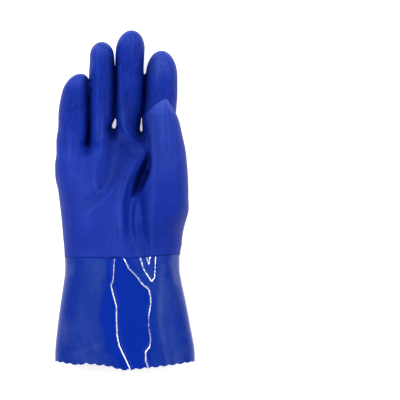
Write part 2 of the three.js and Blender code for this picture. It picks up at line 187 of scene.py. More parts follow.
# creases of the palm side, with depths along each of them
creases = {
    "deep hollow": stroke(
        (149.5, 154), (148.6, 163), (146, 173), (143, 180), (139, 188), (134, 197),
        reach=(4.6, 3), swell=(0.4, 0.75, 1, 1, 0.75, 0.4), depth=(1, 5, 9, 9.5, 6.5, 0.8), power=3),
    "valley below": stroke(
        (134.5, 196), (131, 212), (131, 228), (134.5, 245), (139, 258),
        reach=3, depth=(1.4, 2.8, 2.4, 1.3, 0.6)),
    "valley beside thumb": stroke(
        (141, 198), (142, 215), (143, 230), (146, 246), (148, 258),
        reach=3, depth=(2, 3.4, 3.6, 3, 1.2)),
    "fold between": stroke(
        (137, 200), (135, 215), (136, 230), (139, 244),
        reach=1.8, depth=(0, -1, -1, 0)),
    "slanting ridge": stroke(
        (117, 104), (119, 116), (123, 129), (134, 141), (145, 151),
        reach=(1.7, 2.2), depth=(0, -0.7, -1.6, -1.8, -1.2)),
    "hollow's left crest": stroke(
        (146, 149), (138.5, 157.5), (130.5, 173), (125.5, 187), (122, 203), (122.5, 222), (124, 252),
        reach=(2.4, 2.9), depth=(0.2, -1.6, -3.2, -3.3, -2, -1.3, -0.5)),
    "dip under slanting ridge": stroke(
        (118, 138), (126, 146), (134, 153),
        reach=3.2, depth=(1, 1.6, 0.5)),
    "thumb streak": stroke(
        (160, 110), (161, 140), (161, 172), (157, 195), (153, 222), (152, 256),
        reach=(1.8, 2.2), depth=(-0.4, -0.7, -0.7, -0.8, -0.9, -0.4)),
    "ring pad rim": stroke(
        (100, 150), (97, 168), (97, 182), (100, 193), (106, 190), (112, 180), (117, 160),
        reach=1.6, depth=(-0.2, -0.7, -0.9, -0.9, -0.7, -0.8, -0.3)),
    "ring pad dip": stroke(
        (114, 142), (112, 158), (108, 174), (104, 184),
        reach=4.2, depth=(1.2, 1.9, 1.8, 0.8)),
    "slanting hollow": stroke(
        (121, 170), (112, 182), (100, 196), (87, 206), (80, 212),
        reach=3.8, depth=(0.5, 1.6, 1.5, 1.2, 0)),
    "slanting rim": stroke(
        (119, 186), (108, 199), (92, 212), (84, 219),
        reach=(2, 2.4), depth=(0, -0.7, -0.6, 0)),
    "little pad rim": stroke(
        (72, 150), (70, 168), (77, 179), (85, 170), (84, 152),
        reach=1.5, depth=(0, -0.25, -0.35, -0.3, 0)),
    "small fold": stroke(
        (80, 217), (82, 229), (87, 224), (93, 213),
        reach=(1.2, 1.4), depth=(0, -0.3, -0.3, 0)),
    "upright fold": stroke((115, 206), (115, 230), (115, 256), reach=1.4, depth=(0, -0.6, -0.4)),
    "ring root line": stroke((103, 124), (103, 145), (100, 162), reach=1.6, depth=(0, -0.6, 0)),
    "little gap": stroke(
        (87, 78), (87.3, 95), (88.3, 110), (88.7, 125), (87.6, 144),
        reach=1.7, depth=(1, 2.5, 3, 4, 4.5)),
    "ring gap": stroke(
        (115.2, 62), (115.3, 85), (114.8, 104), (114, 115),
        reach=1.5, depth=(2, 4, 4, 3.5)),
    "middle gap": stroke(
        (145, 72), (144.6, 90), (144, 108), (142.6, 113),
        reach=1.5, depth=(2, 4, 4, 2.4)),
    "little web dip": stroke((87, 142), (87, 152), (86, 162), reach=2.8, depth=(3, 2, 0)),
    "ring web dip": stroke((113, 130), (113, 138), (112, 146), reach=2.8, depth=(3, 2.2, 0.5)),
    "middle web dip": stroke((141, 131), (141, 137), (144, 143), reach=2.4, depth=(3, 2, 0)),
}


def foldDepth(x, y, folds):
    total = np.zeros(np.shape(x))
    for fold in folds.values():
        d = lineDistance(x, y, fold["line"])[0]
        share = np.clip(d / fold["reach"], 0, 1)
        total += fold["depth"] * 0.5 * (1 + np.cos(np.pi * share))
    return total


def creaseDepth(x, y):
    total = np.zeros(np.shape(x))
    for crease in creases.values():
        fade, along = strokeAt(x, y, crease)
        total += valueAlong(along, crease["depth"]) * fade
    return total


# Each finger's length, width and depth, the length of its domed end and how blunt that is, how far it
# curls up, where its root lies across the palm in palm widths, and how high that is.
fingers = {
    "little": dict(length=58.9, width=22.7, depth=20, dome=14, blunt=2, curl=19, root=-0.375, height=15),
    "ring": dict(length=73.8, width=19.6, depth=19.5, dome=11, blunt=2, curl=23, root=-0.13, height=15),
    "middle": dict(length=77.8, width=22.6, depth=21, dome=15, blunt=2, curl=24, root=0.08, height=15),
    "index": dict(length=67.5, width=25.6, depth=21, dome=20, blunt=2, curl=14, root=0.354, height=15),
    "thumb": dict(length=113.6, width=28, depth=24, dome=12.5, blunt=1.25, curl=30, root=0.3, height=21),
}
thumbStart = 12  # over the coat's edge
fingerRoundness = 2.05
rootDome = 10  # rounds a finger's inner end, in the palm
# Sections along each finger: its place, in lengths; its shift to the thumb's side, in widths; its rise,
# in curls; and its own width and depth there, as shares.
fingerRows = {
    "little": [
        (-0.4, 0, 0, 1, 0.98), (0.1, 0.042, 0.01, 1.15, 1.1), (0.28, 0.074, 0.1, 1.08, 1.03),
        (0.5, 0.101, 0.3, 1.085, 1), (0.69, 0.132, 0.57, 0.965, 0.96), (1, 0.35, 1, 0.95, 0.96)],
    "ring": [
        (-0.35, 0.0, 0, 1.0, 0.95), (0.1, -0.034, 0.01, 0.94, 1.1), (0.2, 0.045, 0.052, 1.07, 1.06),
        (0.37, 0.042, 0.17, 1.089, 1), (0.6, 0.048, 0.43, 1.086, 1), (0.8, 0.057, 0.73, 0.999, 0.96),
        (1, 0.06, 1, 0.95, 0.96)],
    "middle": [
        (-0.35, 0, 0, 0.85, 0.95), (0.08, 0.055, 0.01, 0.86, 1.08), (0.2, 0.1, 0.05, 1, 1.03),
        (0.32, 0.109, 0.13, 1.043, 1), (0.51, 0.113, 0.32, 1.05, 1), (0.6, 0.098, 0.44, 1.015, 1),
        (0.73, 0.118, 0.63, 1.023, 1), (1, 0.19, 1, 1, 1)],
    "index": [
        (-0.35, 0, 0, 0.9, 1), (0.15, -0.045, 0.03, 1.05, 1.06), (0.27, -0.03, 0.1, 1.045, 1.02),
        (0.44, 0.014, 0.26, 1.038, 1), (0.58, 0.031, 0.42, 1.02, 1), (0.75, 0.046, 0.65, 0.985, 1),
        (1, 0.045, 1, 0.98, 1)],
    "thumb": [
        (0, 0, 0, 1.34, 1.2), (0.084, 0.09, 0.08, 1.39, 1.32), (0.21, 0.26, 0.26, 1.45, 1.4),
        (0.314, 0.305, 0.42, 1.38, 1.32), (0.417, 0.36, 0.55, 1.26, 1.22), (0.535, 0.42, 0.68, 1.08, 1.09),
        (0.64, 0.412, 0.78, 1.01, 1.03), (0.743, 0.35, 0.87, 0.96, 0.98), (0.847, 0.262, 0.95, 0.94, 0.92),
        (0.9, 0.215, 0.97, 0.885, 0.92), (0.95, 0.25, 0.985, 0.88, 0.92), (1, 0.35, 1, 0.88, 0.92)],
}


def trueDistance(field, step):
    # turns a field that is 0 on the surface into roughly the distance from it
    gx, gy, gz = np.gradient(field, step)
    return field / np.maximum(np.sqrt(gx**2 + gy**2 + gz**2), 1e-3)


def palmField(x, y, z):
    # below 0 inside the palm; rise is y as if the webs lay straight across at palmLength
    y2 = y[None, :] + 0 * x[:, None]
    x2 = x[:, None] + 0 * y2
    rise = y2.copy()
    for _ in range(palmEnd["rounds"]):
        middle, half, depth = sleeveAt(rise)
        across = np.clip((x2 - middle) / half, -1, 1)
        drop = rowAt(webLine, "across", across)["drop"] * palmLength
        fade = np.clip((rise - palmEnd["dropStart"]) / (palmLength - palmEnd["dropStart"]), 0, 1)
        rise = y2 + drop * fade ** palmEnd["dropPower"]
    middle, half, depth = sleeveAt(rise)
    waist, up, down = waistAt(depth)
    front = foldDepth(x2, y2 + coatEdge, palmFolds)
    back = foldDepth(x2, y2 + coatEdge, backFolds)
    z3 = z[None, None, :] - waist[:, :, None]
    pressed = z3 + front[:, :, None] * np.clip(z3 / up[:, :, None], 0, 1)
    pressed = pressed - back[:, :, None] * np.clip(-z3 / down[:, :, None], 0, 1)
    tall = np.where(z3 > 0, pressed / up[:, :, None], -pressed / down[:, :, None])
    end = palmEnd["roundedShare"] * palmLength
    over = np.clip((rise - (palmLength - end)) / end, 0, 3)[:, :, None]
    tall = np.sqrt(tall**2 + over**2)
    n = sleeve["roundness"]
    wide = np.abs((x2 - middle) / half)[:, :, None]
    return (wide**n + tall**n) ** (1 / n) - 1


def fingerField(name, x, y, z):
    # below 0 inside the finger or thumb
    f = fingers[name]
    sections = table("along side rise wide deep", *fingerRows[name])
    startY = thumbStart
    if name != "thumb":
        startY = palmLength - rowAt(webLine, "across", np.array(f["root"] * 2))["drop"] * palmLength
    along = (y - startY) / f["length"]
    row = rowAt(sections, "along", along)
    palmMiddle = palmSections["drift"][-1] * sleeve["palmWidth"]
    cx = palmMiddle + f["root"] * sleeve["palmWidth"] + row["side"] * f["width"]
    cz = f["height"] + row["rise"] * f["curl"]
    slope = np.gradient(cz, y)
    a = row["wide"] * f["width"] / 2
    b = row["deep"] * f["depth"] / 2 * np.sqrt(1 + slope**2)
    n = fingerRoundness
    wide = np.abs((x[:, None] - cx) / a)[:, :, None]
    tall = (np.abs(z[None, :] - cz[:, None]) / b[:, None])[None]
    r = (wide**n + tall**n) ** (1 / n)
    domeShare = f["dome"] / f["length"]
    over = np.clip((along - (1 - domeShare)) / domeShare, 0, 3)
    under = np.clip((sections["along"][0] - along) * f["length"] / rootDome, 0, 3)
    ends = np.maximum(over, under)[None, :, None]
    return (r ** f["blunt"] + ends ** f["blunt"]) ** (1 / f["blunt"]) - 1


def cellCorner(grid, dx, dy, dz):
    # the grid's values at one corner of every cell
    nx, ny, nz = (n - 1 for n in grid.shape)
    return grid[dx:dx + nx, dy:dy + ny, dz:dz + nz]


def cellPoints(field, inside):
    # one point in each cell of the grid that the surface crosses, at the mean of its edges' crossings
    corners = [(dx, dy, dz) for dx in (0, 1) for dy in (0, 1) for dz in (0, 1)]
    count = sum(cellCorner(inside, *corner).astype(int) for corner in corners)
    active = (count > 0) & (count < 8)
    total = np.zeros((active.sum(), 3))
    hits = np.zeros(active.sum())
    for axis in range(3):
        for p in (0, 1):
            for q in (0, 1):
                a = [p, q]
                a.insert(axis, 0)
                b = list(a)
                b[axis] = 1
                va, vb = cellCorner(field, *a)[active], cellCorner(field, *b)[active]
                cross = (va < 0) != (vb < 0)
                t = np.where(cross, va / np.where(cross, va - vb, 1), 0)
                point = np.tile(np.array(a, float), (len(va), 1))
                point[:, axis] = t
                total += point * cross[:, None]
                hits += cross
    return active, np.argwhere(active) + total / hits[:, None]


def netFromField(field, corner, step):
    # a net of quads over the field's 0 level, one quad on each grid edge that the surface crosses
    inside = field < 0
    active, points = cellPoints(field, inside)
    index = np.full(active.shape, -1)
    index[active] = np.arange(len(points))
    quads = []
    for axis in range(3):
        lo = [slice(1, -1)] * 3
        hi = [slice(1, -1)] * 3
        lo[axis], hi[axis] = slice(0, -1), slice(1, None)
        a, b = inside[tuple(lo)], inside[tuple(hi)]
        u, v = (axis + 1) % 3, (axis + 2) % 3
        for starts, flip in ((np.argwhere(a & ~b), False), (np.argwhere(~a & b), True)):
            starts[:, u] += 1
            starts[:, v] += 1
            ring = []
            for du, dv in ((-1, -1), (0, -1), (0, 0), (-1, 0)):
                c = starts.copy()
                c[:, u] += du
                c[:, v] += dv
                ring.append(index[c[:, 0], c[:, 1], c[:, 2]])
            quad = np.stack(ring, 1)
            quads.append(quad[:, ::-1] if flip else quad)
    return corner + points * step, np.concatenate(quads)


def pointNormals(points, quads):
    p = points[quads]
    normal = np.cross(p[:, 2] - p[:, 0], p[:, 3] - p[:, 1])
    total = np.zeros((len(points), 3))
    for corner in range(4):
        for axis in range(3):
            total[:, axis] += np.bincount(quads[:, corner], normal[:, axis], len(points))
    return total / np.maximum(np.linalg.norm(total, axis=1), 1e-9)[:, None]


relaxPulls = (0.5, -0.53)


def relax(points, quads, rounds):
    # evens the net out: each round draws every point to the middle of its neighbours and back out again
    edges = np.concatenate([quads[:, [0, 1]], quads[:, [1, 2]], quads[:, [2, 3]], quads[:, [3, 0]]])
    a = np.concatenate([edges[:, 0], edges[:, 1]])
    b = np.concatenate([edges[:, 1], edges[:, 0]])
    n = np.maximum(np.bincount(a, minlength=len(points)), 1)
    for _ in range(rounds):
        for pull in relaxPulls:
            mean = np.stack([np.bincount(a, points[b, i], len(points)) / n for i in range(3)], 1)
            points = points + (mean - points) * pull
    return points


def makeMesh(name, points, faces, material):
    mesh = bpy.data.meshes.new(name)
    mesh.from_pydata((points * millimetre).tolist(), [], faces.tolist())
    mesh.update()
    mesh.polygons.foreach_set("use_smooth", [True] * len(mesh.polygons))
    mesh.materials.append(material)
    piece = bpy.data.objects.new(name, mesh)
    bpy.context.scene.collection.objects.link(piece)
    return piece


def storeAtPoints(piece, **layers):
    # one number for each point of the mesh, which the material reads by its name
    for name, values in layers.items():
        layer = piece.data.attributes.new(name, "FLOAT", "POINT")
        layer.data.foreach_set("value", values)


def thicken(piece, thickness, group=""):
    # the wall grows inwards; a vertex group holds its share of the thickness at each point
    wall = piece.modifiers.new("wall", "SOLIDIFY")
    wall.thickness = thickness * millimetre
    wall.offset = -1
    wall.use_even_offset = False
    wall.vertex_group = group
    wall.thickness_vertex_group = 0


# materials
def newMaterial(name):
    material = bpy.data.materials.new(name)
    material.use_nodes = True
    nodes, links = material.node_tree.nodes, material.node_tree.links
    return material, nodes, links, nodes["Principled BSDF"]


def addNode(nodes, kind, inputs=None, **settings):
    node = nodes.new(kind)
    for key, value in settings.items():
        setattr(node, key, value)
    for key, value in (inputs or {}).items():
        node.inputs[key].default_value = value
    return node


def mathNode(nodes, links, operation, a, b=None, c=None, clamp=False):
    # a math node whose inputs are numbers or sockets
    node = addNode(nodes, "ShaderNodeMath", operation=operation, use_clamp=clamp)
    for i, value in enumerate((a, b, c)):
        if value is None:
            continue
        if isinstance(value, (int, float)):
            node.inputs[i].default_value = value
        else:
            links.new(value, node.inputs[i])
    return node.outputs["Value"]


def pointValue(nodes, name):
    return addNode(nodes, "ShaderNodeAttribute", attribute_name=name).outputs["Fac"]


def colourRamp(nodes, links, factor, *stops):
    node = addNode(nodes, "ShaderNodeValToRGB")
    ramp = node.color_ramp
    while len(ramp.elements) < len(stops):
        ramp.elements.new(0.5)
    for element, (place, colour) in zip(ramp.elements, stops):
        element.position = place
        element.color = (*colour, 1)
    links.new(factor, node.inputs["Fac"])
    return node.outputs["Color"]


def tintOver(nodes, links, colour, tint, factor):
    # turns a colour socket into a fixed tint as the factor grows
    node = addNode(nodes, "ShaderNodeMix", data_type="RGBA")
    node.inputs["B"].default_value = (*tint, 1)
    links.new(factor, node.inputs["Factor"])
    links.new(colour, node.inputs["A"])
    return node.outputs["Result"]


def stretchedNoise(nodes, links, coords, stretch, scale, detail=3, roughness=0.6):
    # noise in the piece's own place; a stretch below 1 draws it out along Y
    mapping = addNode(nodes, "ShaderNodeMapping")
    mapping.inputs["Scale"].default_value = (1, stretch, 1)
    noise = addNode(nodes, "ShaderNodeTexNoise", {"Scale": scale, "Detail": detail, "Roughness": roughness})
    links.new(coords.outputs["Object"], mapping.inputs["Vector"])
    links.new(mapping.outputs["Vector"], noise.inputs["Vector"])
    return noise.outputs["Fac"]


def addBump(nodes, links, shader, height, strength):
    # height is in metres
    bump = addNode(nodes, "ShaderNodeBump", {"Strength": strength, "Distance": 1.0})
    links.new(height, bump.inputs["Height"])
    links.new(bump.outputs["Normal"], shader.inputs["Normal"])


# The hand's second coat: matt, finely grained, with faint streaks along the fingers, paler tips with
# painted highlights, and painted shade in its gaps and hollows. cloud, streaks, grain and speckle are
# noises: stretch, scale, detail and roughness. Depths are in metres.
coatLook = dict(deep=(0.0022, 0.0165, 0.25), pale=(0.0042, 0.026, 0.34), toneStops=(0.36, 0.66),
                toneCloud=0.5, toneBase=0.25, frost=(0.035, 0.072, 0.41), frostPatches=(2.4, -0.2),
                paintedShadeColour=(0.0005, 0.003, 0.05), roughness=0.5, specular=0.23, shadeShineShare=0.9,
                tint=(0.55, 0.72, 1), cloud=(0.6, 55, 4), streaks=(0.06, 560), grain=(1, 2200, 2, 0.7),
                speckle=(0.6, 800, 3, 0.7), grainDepth=0.00012, streakDepth=0.00013,
                streakRun=(20, 45), streakShares=(0.5, 1.7))


def coatMaterial():
    look = coatLook
    material, nodes, links, shader = newMaterial("frostedCoat")
    coords = addNode(nodes, "ShaderNodeTexCoord")
    cloud = stretchedNoise(nodes, links, coords, *look["cloud"])
    streaks = stretchedNoise(nodes, links, coords, *look["streaks"])
    grain = stretchedNoise(nodes, links, coords, *look["grain"])
    speckle = stretchedNoise(nodes, links, coords, *look["speckle"])
    streaky = mathNode(nodes, links, "SUBTRACT", streaks, 0.5)
    streaky = mathNode(nodes, links, "MULTIPLY", streaky, pointValue(nodes, "streaks"))
    tone = mathNode(nodes, links, "ADD", streaky, look["toneBase"])
    tone = mathNode(nodes, links, "MULTIPLY_ADD", cloud, look["toneCloud"], tone)
    deepStop, paleStop = look["toneStops"]
    colour = colourRamp(nodes, links, tone, (deepStop, look["deep"]), (paleStop, look["pale"]))
    # painted highlights and paler tips: a value from the mesh tints the colour pale
    patchy = mathNode(nodes, links, "MULTIPLY_ADD", speckle, *look["frostPatches"])
    frost = mathNode(nodes, links, "MULTIPLY", pointValue(nodes, "frost"), patchy, clamp=True)
    colour = tintOver(nodes, links, colour, look["frost"], frost)
    # painted shade: a value from the mesh darkens the colour to near black in gaps, webs and hollows
    shade = pointValue(nodes, "shade")
    colour = tintOver(nodes, links, colour, look["paintedShadeColour"], shade)
    links.new(colour, shader.inputs["Base Color"])
    grainHeight = mathNode(nodes, links, "MULTIPLY", grain, look["grainDepth"])
    height = mathNode(nodes, links, "MULTIPLY_ADD", streaky, look["streakDepth"], grainHeight)
    addBump(nodes, links, shader, height, 1.0)
    shader.inputs["Roughness"].default_value = look["roughness"]
    shadeShineCut = -look["shadeShineShare"] * look["specular"]  # the painted shade also cuts the shine, so the painted-dark folds hardly shine
    shine = mathNode(nodes, links, "MULTIPLY_ADD", shade, shadeShineCut, look["specular"])
    links.new(shine, shader.inputs["Specular IOR Level"])
    shader.inputs["Specular Tint"].default_value = (*look["tint"], 1)
    return material


# the cuff's single coat: glossy, with a rougher milky haze that carries painted reflection, and painted
# glints on its sharpest creases
glossLook = dict(clear=(0.0008, 0.018, 0.303), haze=(0.0055, 0.0245, 0.255), palestReflection=(0.05, 0.075, 0.3),
                 hazePatches=(1.8, 0.1), roughness=0.12, hazeRoughness=0.28, specular=0.3,
                 tint=(0.2, 0.45, 1), cloud=(0.5, 70, 5), cloudDepth=0.0006, speckle=(0.7, 900, 3, 0.7),
                 glint=(0.8, 0.87, 1), glintMetal=0.85, glintStart=1.38, glintSpeckle=1.6, glintSharpness=4,
                 knitPitch=(0.0011, 0.000825), knitDepth=0.00003, bumpStrength=0.6)


def glossMaterial():
    look = glossLook
    material, nodes, links, shader = newMaterial("glossCoat")
    coords = addNode(nodes, "ShaderNodeTexCoord")
    cloud = stretchedNoise(nodes, links, coords, *look["cloud"])
    speckle = stretchedNoise(nodes, links, coords, *look["speckle"])
    # painted reflection: a value from the mesh pales the colour, and it also roughens the coat
    uneven = mathNode(nodes, links, "MULTIPLY_ADD", cloud, *look["hazePatches"])
    hazeAndReflectionMask = mathNode(nodes, links, "MULTIPLY", pointValue(nodes, "haze"), uneven)
    colour = colourRamp(nodes, links, hazeAndReflectionMask, (0, look["clear"]), (0.5, look["haze"]), (1, look["palestReflection"]))
    # painted highlight: where the crease value is high, the colour turns pale and metallic in glints along
    # the crests
    spark = mathNode(nodes, links, "ADD", pointValue(nodes, "crease"), -look["glintStart"])
    spark = mathNode(nodes, links, "MULTIPLY_ADD", speckle, look["glintSpeckle"], spark)
    spark = mathNode(nodes, links, "MULTIPLY", spark, look["glintSharpness"], clamp=True)
    links.new(tintOver(nodes, links, colour, look["glint"], spark), shader.inputs["Base Color"])
    metal = mathNode(nodes, links, "MULTIPLY", spark, look["glintMetal"])
    links.new(metal, shader.inputs["Metallic"])
    hazeStep = 2 * (look["hazeRoughness"] - look["roughness"])
    dull = mathNode(nodes, links, "MULTIPLY_ADD", hazeAndReflectionMask, hazeStep, look["roughness"])
    links.new(dull, shader.inputs["Roughness"])
    shader.inputs["Specular IOR Level"].default_value = look["specular"]
    shader.inputs["Specular Tint"].default_value = (*look["tint"], 1)
    # the knit shows through as a fine weave of waves round and along the cuff
    uv = addNode(nodes, "ShaderNodeUVMap", uv_map="wrap")
    split = addNode(nodes, "ShaderNodeSeparateXYZ")
    links.new(uv.outputs["UV"], split.inputs["Vector"])
    waves = []
    for axis, pitch in zip("XY", look["knitPitch"]):
        turns = mathNode(nodes, links, "MULTIPLY", split.outputs[axis], 2 * math.pi / pitch)
        waves.append(mathNode(nodes, links, "SINE", turns))
    knit = mathNode(nodes, links, "MULTIPLY", *waves)
    cloudHeight = mathNode(nodes, links, "MULTIPLY", cloud, look["cloudDepth"])
    height = mathNode(nodes, links, "MULTIPLY_ADD", knit, look["knitDepth"], cloudHeight)
    addBump(nodes, links, shader, height, look["bumpStrength"])
    return material


coat = coatMaterial()
gloss = glossMaterial()
print("coats mixed")

# The hand: palm, fingers and thumb grown together in one field, then hollowed. step is the field's grid,
# low and high are its corners, thumbBlend goes from the thumb's root to its tip, and creases are pressed
# in where the normal's Z is over creaseFacing.
handBuild = dict(step=1.16, low=(-60.0, -7.0, -3.3), high=(60, 184, 68), webBlend=4.0,
                 thumbBlend=(10.0, 3.0), thumbBlendRun=(35, 65), groundBlend=1.5, relaxRounds=5,
                 creaseFacing=(-0.3, 0.15), cutShare=0.55, wall=1.9, lip=0.7, lipRun=(15, 20))
# the coat's edge rises a little to the thumb's side and sits lower on the back
rimShape = dict(offset=0.3, thumbRise=2.8, thumbRun=(8, 42), wave=0.3, waveRun=9.0, backDrop=1.5,
                backRun=(12, 24))
# arcTilt is the normal's Z where the painted highlight arc over a fingertip is palest
frostShape = dict(arcTilt=0.58, arcWidth=0.16, arcForward=(0, 0.45), runTilt=(0.2, 0.6))

# where the coat is made pale: on the tips partly a paler coat and partly painted light; share is how pale,
# edge is for the painted highlight arc, above leaves out all that is lower, and the thumb's wide entry is
# painted light on its top
paleTipsAndHighlights = {
    "little": stroke((79, 74), (80, 80), reach=9, share=0.2, edge=0.8),
    "ring": stroke((101, 42), (101, 50), reach=9, share=0.3, edge=0.9),
    "middle": stroke((130, 31), (130, 39), reach=9, share=0.18, edge=0.75),
    "index": stroke((159, 52), (160, 64), reach=11, share=0.5, edge=1),
    "thumb tip": stroke((163, 98), (161, 112), reach=8, share=0.4, edge=0.6, above=36),
    "thumb": stroke((165, 120), (168, 160), reach=15, share=0.26, above=38),
}
# painted highlights: thin pale runs along the fingers, the thumb and the folds
paintedHighlightRuns = {
    "little": stroke((80, 80), (79.5, 98), (80.5, 118), reach=1, swell=(0.6, 1, 0.5), share=0.2),
    "ring left": stroke((98, 47), (98.6, 78), (97, 105), reach=1, swell=(0.7, 1, 0.5), share=0.2),
    "ring right": stroke((108, 49), (109, 85), (107, 118), reach=1, swell=(0.6, 1, 0.6), share=0.16),
    "ring root": stroke(
        (102.5, 114), (102, 132), (99.5, 160),
        reach=1.3, swell=(0.5, 1, 0.5), share=0.22),
    "middle tip": stroke((133.5, 38), (133, 62), reach=1.2, swell=(0.6, 1, 0.4), share=0.2),
    "middle left": stroke(
        (120.5, 68), (121.5, 100), (124, 124),
        reach=1.1, swell=(0.5, 1, 0.7), share=0.26),
    "index": stroke((158.5, 54), (158, 92), reach=1.3, swell=(0.7, 1, 0.4), share=0.22),
    "thumb": stroke((163, 104), (162.5, 150), reach=1.3, swell=(0.8, 1, 0.4), share=0.2),
    "thumb's palm side": stroke(
        (153.5, 120), (154, 160), (154.5, 190), (152.5, 215), (152, 254),
        reach=1.2, swell=(0.6, 1, 1, 1, 0.7), share=0.2),
    "ring pad": stroke(
        (97, 149), (95, 166), (94.5, 182), (98, 193), (105, 191.5), (111.5, 176), (116, 156),
        reach=1.1, share=0.17),
    "slanting rim": stroke(
        (119, 184), (108, 198), (92, 211), (84, 218),
        reach=1.2, swell=(0.5, 1, 1, 0.5), share=0.15),
    "slanting line": stroke(
        (120, 165), (106, 187), (92, 200), (79, 207),
        reach=1.2, swell=(0.4, 1, 1, 0.7), share=0.16),
    "little pad": stroke((71, 148), (70, 168), (74, 177), (82, 175), (84, 158), reach=1.1, share=0.13),
    "left crest": stroke(
        (132, 164), (126.5, 178), (121.5, 192), (119, 210), (121, 232), (123, 252),
        reach=1.5, swell=(0.5, 1, 1, 0.9, 0.7, 0.4), share=0.17),
    "upright fold": stroke((115.7, 206), (115.7, 254), reach=1.1, share=0.13),
}
# painted shade in the gaps, webs, hollows and valleys; share is how much of the coat's colour is lost
shades = {
    "little gap": stroke(
        (87.5, 80), (88.3, 110), (88.7, 128), (87.6, 146),
        reach=(2.2, 2.8), share=0.42),
    "ring gap": stroke((115.2, 64), (115, 100), (113.5, 132), reach=(6, 3), share=0.5),
    "middle gap": stroke((148, 62), (144.8, 76), (144, 108), (141.5, 134), reach=(5, 7.5), share=0.5),
    "middle's root": stroke((127, 98), (127, 110), (129, 122), reach=5.5, share=0.36),
    "little web": stroke((87.6, 146), (87, 151), reach=3.5, share=0.35),
    "ring web": stroke((114, 129.5), (114, 137), reach=(3.6, 4), share=0.86),
    "middle web": stroke((141.5, 133), (143, 140), reach=3.2, share=0.5),
    "below the webs": stroke((110, 142), (124, 146), (139, 148), reach=7.5, share=0.25),
    "deep hollow": stroke(
        (149.5, 155), (148.3, 165), (144.8, 175), (140.5, 184), (134.5, 195),
        reach=(5, 3.8), swell=(0.45, 0.8, 1, 0.85, 0.45), power=3, share=0.74),
    "little contact": stroke(
        (87.4, 82), (88.3, 110), (88.7, 128), (87.8, 144),
        reach=(1.4, 1.6), share=0.8),
    "ring contact": stroke((115.3, 66), (115.2, 100), (114.4, 116), reach=1.4, share=0.6),
    "middle contact": stroke((145, 74), (144.2, 108), (142.4, 116), reach=1.4, share=0.6),
    "pad hollow": stroke((116, 144), (112, 160), (108, 180), reach=9, share=0.19),
    "under the ridge": stroke((127, 150), (123, 162), (117, 174), reach=8, share=0.24),
    "valleys": stroke((130, 200), (129, 225), (134, 250), reach=(3, 4), share=0.15),
    "valley beside thumb": stroke((145, 192), (145, 212), (144, 230), (145, 250), reach=5, share=0.24),
    "slanting hollow": stroke((118, 176), (100, 196), (84, 209), reach=4, share=0.12),
}
paintedSideShade = dict(share=0.5, tilt=(0.1, 0.55), backRun=(8, 14))  # painted shade darkening steep sides; the back has no strokes


def rimAt(x, z):
    s = rimShape
    toThumb = s["thumbRise"] * smoothStep(*s["thumbRun"], x)
    toBack = s["backDrop"] * (1 - smoothStep(*s["backRun"], z))
    return coatEdge + s["offset"] + toThumb + s["wave"] * np.sin(x / s["waveRun"]) - toBack


def frostAt(points, normals):
    # painted highlight arcs on the fingertips and pale runs, over paler tips; the thumb's wide entry is
    # painted light
    x, y, z = points.T
    s = frostShape
    arc = np.exp(-(((normals[:, 2] - s["arcTilt"]) / s["arcWidth"]) ** 2))
    arc = arc * smoothStep(*s["arcForward"], normals[:, 1])
    frost = np.zeros(len(points))
    for tip in paleTipsAndHighlights.values():
        d = lineDistance(x, y, tip["line"])[0]
        near = np.exp(-((d / tip["reach"]) ** 2)) * (z > tip.get("above", 0))
        frost = np.maximum(frost, near * (tip["share"] + tip.get("edge", 0) * arc))
    level = smoothStep(*s["runTilt"], normals[:, 2])
    for run in paintedHighlightRuns.values():
        frost = frost + run["share"] * strokeAt(x, y, run)[0] * level
    return np.minimum(frost, 1)


def shadeAt(points, normals):
    # painted shade from the strokes, faded out on the back, and on steep sides
    x, y, z = points.T
    clear = np.ones(len(points))
    for shade in shades.values():
        clear *= 1 - shade["share"] * strokeAt(x, y, shade)[0]
    clear = mix(1, clear, smoothStep(*paintedSideShade["backRun"], z))
    level = smoothStep(*paintedSideShade["tilt"], np.abs(normals[:, 2]))
    return 1 - clear * (1 - paintedSideShade["share"] * (1 - level))


def growHand():
    # the whole hand as a relaxed and creased net
    h = handBuild
    step = h["step"]
    low = np.array(h["low"])
    x, y, z = (np.arange(start, end, step) for start, end in zip(low, h["high"]))
    palm = trueDistance(palmField(x, y, z), step)
    whole = palm.copy()
    for name in fingers:
        radius = h["webBlend"]
        if name == "thumb":
            radius = mix(*h["thumbBlend"], smoothStep(*h["thumbBlendRun"], y))[None, :, None]
        finger = trueDistance(fingerField(name, x, y, z), step)
        whole = np.minimum(whole, smoothMin(palm, finger, radius))
    ground = -z[None, None, :] + 0 * whole
    whole = -smoothMin(-whole, -ground, h["groundBlend"])
    points, quads = netFromField(whole, low, step)
    points[:, 1] += coatEdge
    points = relax(points, quads, h["relaxRounds"])
    facing = smoothStep(*h["creaseFacing"], pointNormals(points, quads)[:, 2])
    points[:, 2] -= creaseDepth(points[:, 0], points[:, 1]) * facing
    points = relax(points, quads, 1)
    points[:, 2] = np.maximum(points[:, 2], 0)
    return points, quads


def cutAtRim(points, quads):
    # leaves out the net below the coat's edge and lays its border along that edge
    rim = rimAt(points[:, 0], points[:, 2])
    margin = handBuild["cutShare"] * handBuild["step"]
    keep = (points[quads, 1] >= (rim - margin)[quads]).all(axis=1)
    quads = quads[keep]
    used = np.unique(quads)
    renumber = np.full(len(points), -1)
    renumber[used] = np.arange(len(used))
    points, quads, rim = points[used], renumber[quads], rim[used]
    edges = np.sort(np.concatenate([quads[:, [i, (i + 1) % 4]] for i in range(4)]), axis=1)
    unique, times = np.unique(edges, axis=0, return_counts=True)
    border = np.unique(unique[times == 1])
    points[border, 1] = rim[border]
    return points, quads


